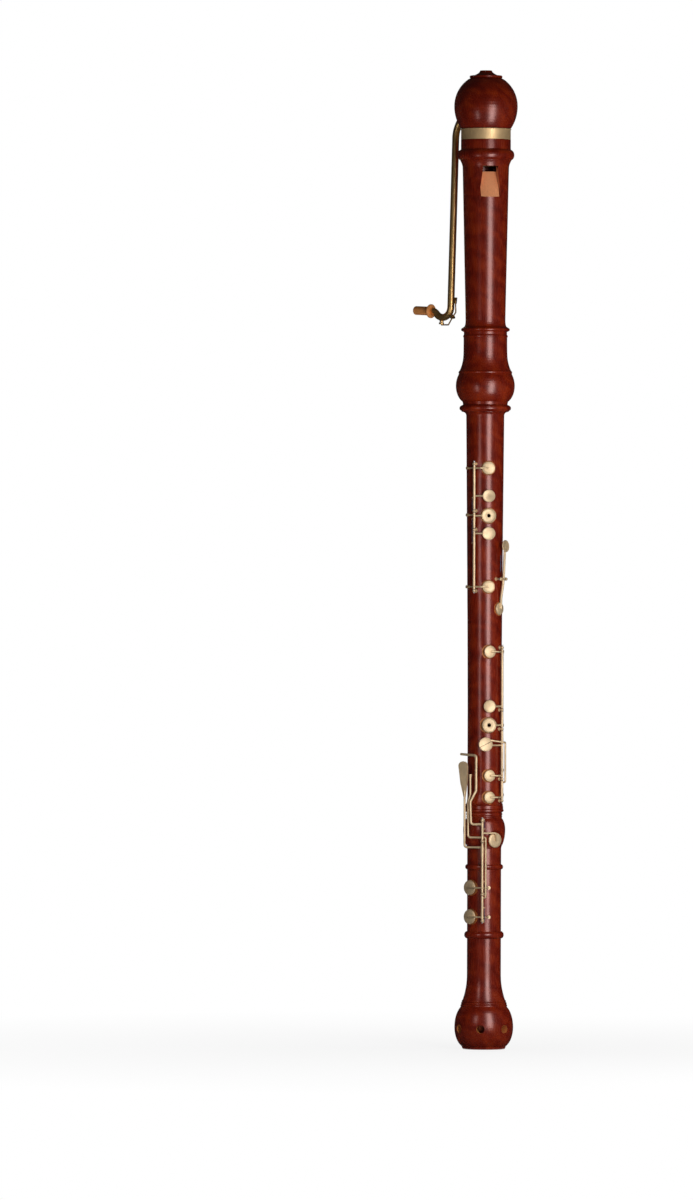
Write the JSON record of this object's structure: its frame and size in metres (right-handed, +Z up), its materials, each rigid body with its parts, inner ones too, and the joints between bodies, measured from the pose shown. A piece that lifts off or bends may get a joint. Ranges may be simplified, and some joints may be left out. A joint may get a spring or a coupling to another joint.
{
  "type": "great bass recorder",
  "caption": "Tall turned wooden recorder in joints with a ball cap, bent brass blowing tube, window, hinge-tube keys and long little-finger levers.",
  "frame": {"origin": "on the bore's axis in the plane of the foot's flat base", "axes": "+Z up the bore to the cap, -Y towards the window and the finger keys, +X to the right of someone who looks at the window"},
  "size_m": [0.1171, 0.1365, 1.252],
  "materials": {
    "stained_maple": "gloss",
    "block_cedar": "matt",
    "brass": "polished",
    "old_brass": "polished",
    "steel": "polished",
    "cork": "matt",
    "pad_leather": "matt",
    "bush_resin": "satin",
    "mouthpiece_wood": "satin"
  },
  "bodies": {
    "foot": {"foot_joint": "stained_maple", "foot_posts": "brass", "foot_hinge_rod": "steel", "foot_springs": "steel", "foot_stop_corks": "cork"},
    "middle": {"middle_joint": "stained_maple", "lower_tenon_cork": "cork", "upper_tenon_cork": "cork", "thumb_bush": "bush_resin", "thumb_rest": "brass", "thumb_rest_screws": "steel", "sling_plate": "brass", "upper_posts": "brass", "lower_posts": "brass", "upper_hinge_rod": "steel", "lower_hinge_rod": "steel", "upper_springs": "steel", "lower_springs": "steel", "upper_stop_corks": "cork", "lower_stop_corks": "cork", "seesaw_posts": "brass", "seesaw_pin": "steel", "seesaw_spring": "steel"},
    "head": {"head_joint": "stained_maple", "block": "block_cedar", "cap_tenon_cork": "cork"},
    "cap": {"cap": "stained_maple", "cap_band": "brass", "bocal_socket": "old_brass"},
    "bocal": {"bocal_cork": "cork", "bocal_tube": "old_brass", "mouthpiece": "mouthpiece_wood", "water_key_saddle": "old_brass", "water_key_pin": "steel"},
    "water_key": {"water_key": "old_brass", "water_key_cork": "cork"},
    "sling_ring": {"sling_ring": "brass"},
    "key_1": {"key_1": "brass", "pad_1": "pad_leather"},
    "key_2": {"key_2_plate": "brass", "pad_2": "pad_leather"},
    "key_3": {"key_3": "brass", "pad_3": "pad_leather"},
    "key_4": {"key_4": "brass", "pad_4": "pad_leather"},
    "key_5": {"key_5_plate": "brass", "pad_5": "pad_leather"},
    "key_6a": {"key_6a": "brass", "pad_6a": "pad_leather"},
    "key_6b": {"key_6b": "brass", "pad_6b": "pad_leather"},
    "key_7a": {"key_7a": "brass", "pad_7a": "pad_leather"},
    "key_7b": {"key_7b": "brass", "pad_7b": "pad_leather"},
    "key_7c": {"key_7c": "brass", "pad_7c": "pad_leather"},
    "key_seesaw": {"key_seesaw": "brass", "pad_seesaw": "pad_leather"}
  },
  "joints": [
    {"name": "foot_turn", "type": "hinge", "parent": "foot", "child": "middle", "pos_m": [0, 0, 0.294], "axis": [0, 0, 1], "range_deg": [-8, 8]},
    {"name": "head_slide", "type": "slide", "parent": "middle", "child": "head", "axis": [0, 0, 1], "range_m": [0, 0.009]},
    {"name": "cap_turn", "type": "hinge", "parent": "head", "child": "cap", "pos_m": [0, 0, 1.1634], "axis": [0, 0, 1], "range_deg": [-30, 30]},
    {"name": "bocal_swivel", "type": "hinge", "parent": "cap", "child": "bocal", "pos_m": [-0.02383, 0.0305, 1.1931], "axis": [-0.4199, 0.5374, -0.7314], "range_deg": [-15, 15]},
    {"name": "water_key_hinge", "type": "hinge", "parent": "bocal", "child": "water_key", "pos_m": [-0.03397, 0.04348, 0.9371], "axis": [-0.788, -0.6157, 0], "range_deg": [0, 5], "stiffness_Nm_per_rad": 0.04, "springref_deg": -14.32},
    {"name": "sling_ring_swing", "type": "hinge", "parent": "middle", "child": "sling_ring", "pos_m": [0, 0.02931, 0.783], "axis": [1, 0, 0], "range_deg": [-8, 70]},
    {"name": "key_1_hinge", "type": "hinge", "parent": "middle", "child": "key_1", "pos_m": [-0.0186, -0.02066, 0.7183], "axis": [0, 0, 1], "range_deg": [0, 8], "stiffness_Nm_per_rad": 0.06, "springref_deg": -14.32},
    {"name": "key_2_hinge", "type": "hinge", "parent": "middle", "child": "key_2", "pos_m": [-0.0186, -0.02066, 0.6762], "axis": [0, 0, 1], "range_deg": [0, 8], "stiffness_Nm_per_rad": 0.06, "springref_deg": -14.32},
    {"name": "key_3_hinge", "type": "hinge", "parent": "middle", "child": "key_3", "pos_m": [-0.0186, -0.02066, 0.62515], "axis": [0, 0, 1], "range_deg": [0, 8], "stiffness_Nm_per_rad": 0.06, "springref_deg": -14.32},
    {"name": "key_4_hinge", "type": "hinge", "parent": "middle", "child": "key_4", "pos_m": [0.01932, -0.0174, 0.4738], "axis": [0, 0, 1], "range_deg": [-8, 0], "stiffness_Nm_per_rad": 0.06, "springref_deg": 14.32},
    {"name": "key_5_hinge", "type": "hinge", "parent": "middle", "child": "key_5", "pos_m": [0.01932, -0.0174, 0.42175], "axis": [0, 0, 1], "range_deg": [-8, 0], "stiffness_Nm_per_rad": 0.06, "springref_deg": 14.32},
    {"name": "key_6a_hinge", "type": "hinge", "parent": "middle", "child": "key_6a", "pos_m": [0.01932, -0.0174, 0.3776], "axis": [0, 0, 1], "range_deg": [-8, 0], "stiffness_Nm_per_rad": 0.06, "springref_deg": 14.32},
    {"name": "key_6b_hinge", "type": "hinge", "parent": "middle", "child": "key_6b", "pos_m": [0.01932, -0.0174, 0.3318], "axis": [0, 0, 1], "range_deg": [-8, 0], "stiffness_Nm_per_rad": 0.06, "springref_deg": 14.32},
    {"name": "key_7a_hinge", "type": "hinge", "parent": "foot", "child": "key_7a", "pos_m": [-0.00869, -0.02934, 0.2322], "axis": [0, 0, 1], "range_deg": [-8, 0], "stiffness_Nm_per_rad": 0.09, "springref_deg": 14.32},
    {"name": "key_7b_hinge", "type": "hinge", "parent": "foot", "child": "key_7b", "pos_m": [-0.00869, -0.02934, 0.1814], "axis": [0, 0, 1], "range_deg": [-8, 0], "stiffness_Nm_per_rad": 0.09, "springref_deg": 14.32},
    {"name": "key_7c_hinge", "type": "hinge", "parent": "foot", "child": "key_7c", "pos_m": [-0.00869, -0.02934, 0.27955], "axis": [0, 0, 1], "range_deg": [-8, 0], "stiffness_Nm_per_rad": 0.09, "springref_deg": 14.32},
    {"name": "key_seesaw_hinge", "type": "hinge", "parent": "middle", "child": "key_seesaw", "pos_m": [0.0198, -0.02015, 0.6013], "axis": [0.7133, 0.7009, 0], "range_deg": [-6, 0], "stiffness_Nm_per_rad": 0.09, "springref_deg": 17.19}
  ]
}
